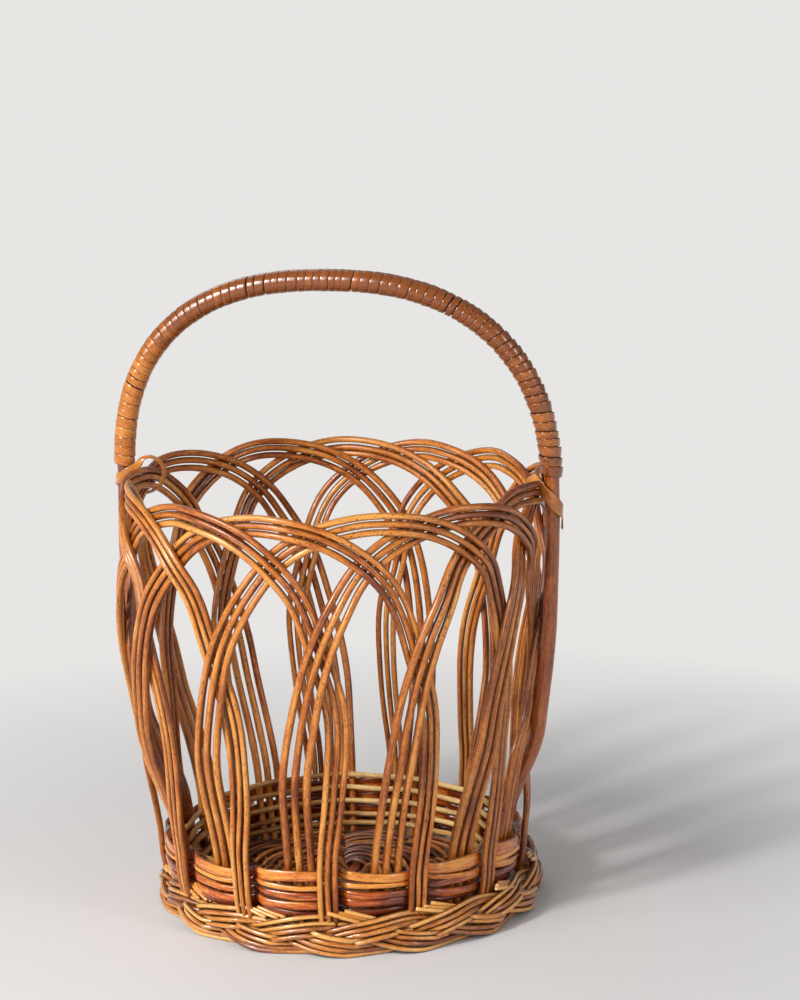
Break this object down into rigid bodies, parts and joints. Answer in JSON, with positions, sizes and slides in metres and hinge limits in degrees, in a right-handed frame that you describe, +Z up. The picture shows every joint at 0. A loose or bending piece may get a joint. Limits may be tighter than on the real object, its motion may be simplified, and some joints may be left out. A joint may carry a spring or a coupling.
{
  "type": "round open-arch willow basket",
  "caption": "Round willow storage basket with an open wall of crossing arches, a braided foot and a fixed cane-wrapped hoop handle.",
  "frame": {"origin": "centre of the round foot, on the surface that the basket stands on", "axes": "+Z up, the handle stands in the XZ plane, +Y square to the handle"},
  "size_m": [0.2303, 0.2168, 0.3183],
  "materials": {
    "arch_willow": "varnished willow rod",
    "wall_willow": "varnished split willow",
    "pale_willow": "thin pale willow rod",
    "braid_willow": "varnished willow rods",
    "base_willow": "dark willow with its bark",
    "core_willow": "varnished thick rod",
    "cane": "glossy flat cane"
  },
  "bodies": {
    "root": {"arch_01_outer_rod": "arch_willow", "arch_01_middle_rod": "arch_willow", "arch_01_inner_rod": "arch_willow", "arch_02_outer_rod": "arch_willow", "arch_02_middle_rod": "arch_willow", "arch_02_inner_rod": "arch_willow", "arch_03_outer_rod": "arch_willow", "arch_03_middle_rod": "arch_willow", "arch_03_inner_rod": "arch_willow", "arch_04_outer_rod": "arch_willow", "arch_04_middle_rod": "arch_willow", "arch_04_inner_rod": "arch_willow", "arch_05_outer_rod": "arch_willow", "arch_05_middle_rod": "arch_willow", "arch_05_inner_rod": "arch_willow", "arch_06_outer_rod": "arch_willow", "arch_06_middle_rod": "arch_willow", "arch_06_inner_rod": "arch_willow", "arch_07_outer_rod": "arch_willow", "arch_07_middle_rod": "arch_willow", "arch_07_inner_rod": "arch_willow", "arch_08_outer_rod": "arch_willow", "arch_08_middle_rod": "arch_willow", "arch_08_inner_rod": "arch_willow", "arch_09_outer_rod": "arch_willow", "arch_09_middle_rod": "arch_willow", "arch_09_inner_rod": "arch_willow", "arch_10_outer_rod": "arch_willow", "arch_10_middle_rod": "arch_willow", "arch_10_inner_rod": "arch_willow", "arch_11_outer_rod": "arch_willow", "arch_11_middle_rod": "arch_willow", "arch_11_inner_rod": "arch_willow", "arch_12_outer_rod": "arch_willow", "arch_12_middle_rod": "arch_willow", "arch_12_inner_rod": "arch_willow", "arch_13_outer_rod": "arch_willow", "arch_13_middle_rod": "arch_willow", "arch_13_inner_rod": "arch_willow", "wall_weaver_1": "wall_willow", "wall_weaver_2": "wall_willow", "wall_weaver_3": "wall_willow", "wall_weaver_4": "wall_willow", "inner_weaver_1": "pale_willow", "inner_weaver_2": "pale_willow", "inner_weaver_3": "pale_willow", "foot_braid_strand_1": "braid_willow", "foot_braid_strand_2": "braid_willow", "foot_braid_strand_3": "braid_willow", "base_slit_stick_1": "base_willow", "base_through_stick_1": "base_willow", "base_slit_stick_2": "base_willow", "base_through_stick_2": "base_willow", "base_slit_stick_3": "base_willow", "base_through_stick_3": "base_willow", "base_weave": "base_willow", "handle_core": "core_willow", "handle_wrap": "cane", "handle_tie_right": "cane", "handle_tie_left": "cane"}
  },
  "joints": []
}
